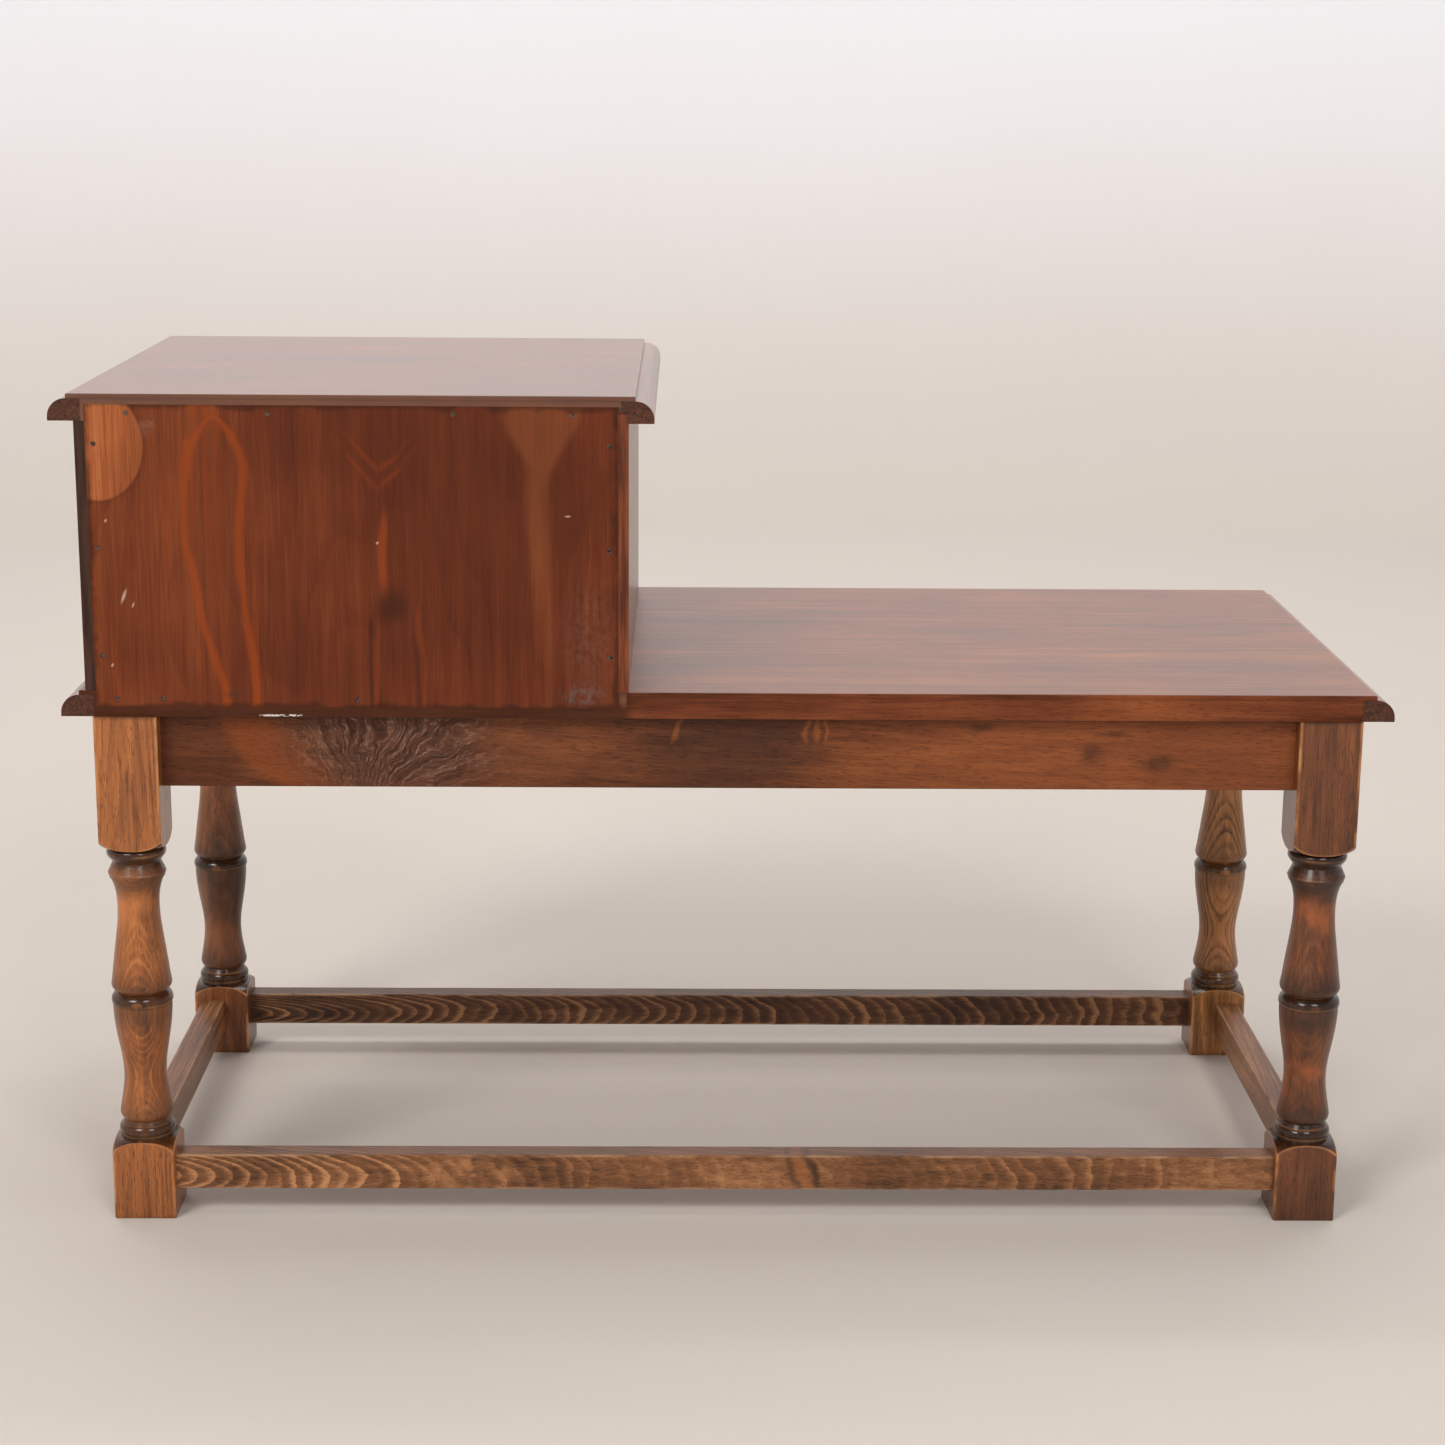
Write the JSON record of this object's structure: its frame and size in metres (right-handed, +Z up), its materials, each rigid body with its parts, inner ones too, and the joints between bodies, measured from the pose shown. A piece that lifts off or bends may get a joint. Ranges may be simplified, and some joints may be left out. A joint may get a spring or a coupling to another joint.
{
  "type": "entryway telephone bench",
  "caption": "Low stained wood hall bench on turned legs, with a moulded seat board and a small raised cabinet with a drawer at one end.",
  "frame": {"origin": "centre of the bounding box on the floor", "axes": "+Z up, the drawer front faces -Y, the plain back faces +Y, the cabinet is on the +X end"},
  "size_m": [0.903, 0.4026, 0.5805],
  "materials": {
    "leg_wood": "satin stained, dark glaze in the turnings",
    "rail_wood": "satin stained",
    "board_wood": "satin varnish",
    "case_wood": "satin stained",
    "panel_wood": "thin stained plywood",
    "inner_wood": "bare wood",
    "steel": "plain",
    "brass": "aged"
  },
  "bodies": {
    "bench": {"leg_rear_right": "leg_wood", "leg_rear_left": "leg_wood", "leg_front_right": "leg_wood", "leg_front_left": "leg_wood", "apron_rear": "rail_wood", "apron_front": "rail_wood", "apron_right": "rail_wood", "apron_left": "rail_wood", "stretcher_rear": "rail_wood", "stretcher_front": "rail_wood", "stretcher_right": "rail_wood", "stretcher_left": "rail_wood", "seat_board": "board_wood", "seat_lipping_front": "board_wood", "seat_lipping_left": "board_wood", "seat_lipping_right": "board_wood", "cabinet_top": "board_wood", "top_lipping_front": "board_wood", "top_lipping_left": "board_wood", "top_lipping_right": "board_wood", "cabinet_side_left": "case_wood", "cabinet_side_right": "case_wood", "back_panel": "panel_wood", "glue_blocks": "inner_wood", "cabinet_shelf": "inner_wood", "top_dowels": "inner_wood", "drawer_kickers": "inner_wood", "drawer_stops": "inner_wood", "back_panel_nails": "steel", "seat_screws": "steel", "cabinet_screws": "steel"},
    "drawer": {"drawer_front": "case_wood", "drawer_side_left": "inner_wood", "drawer_side_right": "inner_wood", "drawer_back": "inner_wood", "drawer_bottom": "inner_wood", "drawer_frame_level": "case_wood", "drawer_frame_upright": "case_wood", "pull_plates": "brass", "pull_studs": "brass", "pull_nuts": "steel", "pull_pins": "steel"},
    "pull_left": {"pull_drop_left": "brass"},
    "pull_right": {"pull_drop_right": "brass"}
  },
  "joints": [
    {"name": "drawer_slide", "type": "slide", "parent": "bench", "child": "drawer", "axis": [0, -1, 0], "range_m": [0, 0.28]},
    {"name": "pull_left_swing", "type": "hinge", "parent": "drawer", "child": "pull_left", "pos_m": [0.1715, -0.19475, 0.52133], "axis": [-1, 0, 0], "range_deg": [-8, 85]},
    {"name": "pull_right_swing", "type": "hinge", "parent": "drawer", "child": "pull_right", "pos_m": [0.3315, -0.19475, 0.52133], "axis": [-1, 0, 0], "range_deg": [-8, 85]}
  ]
}
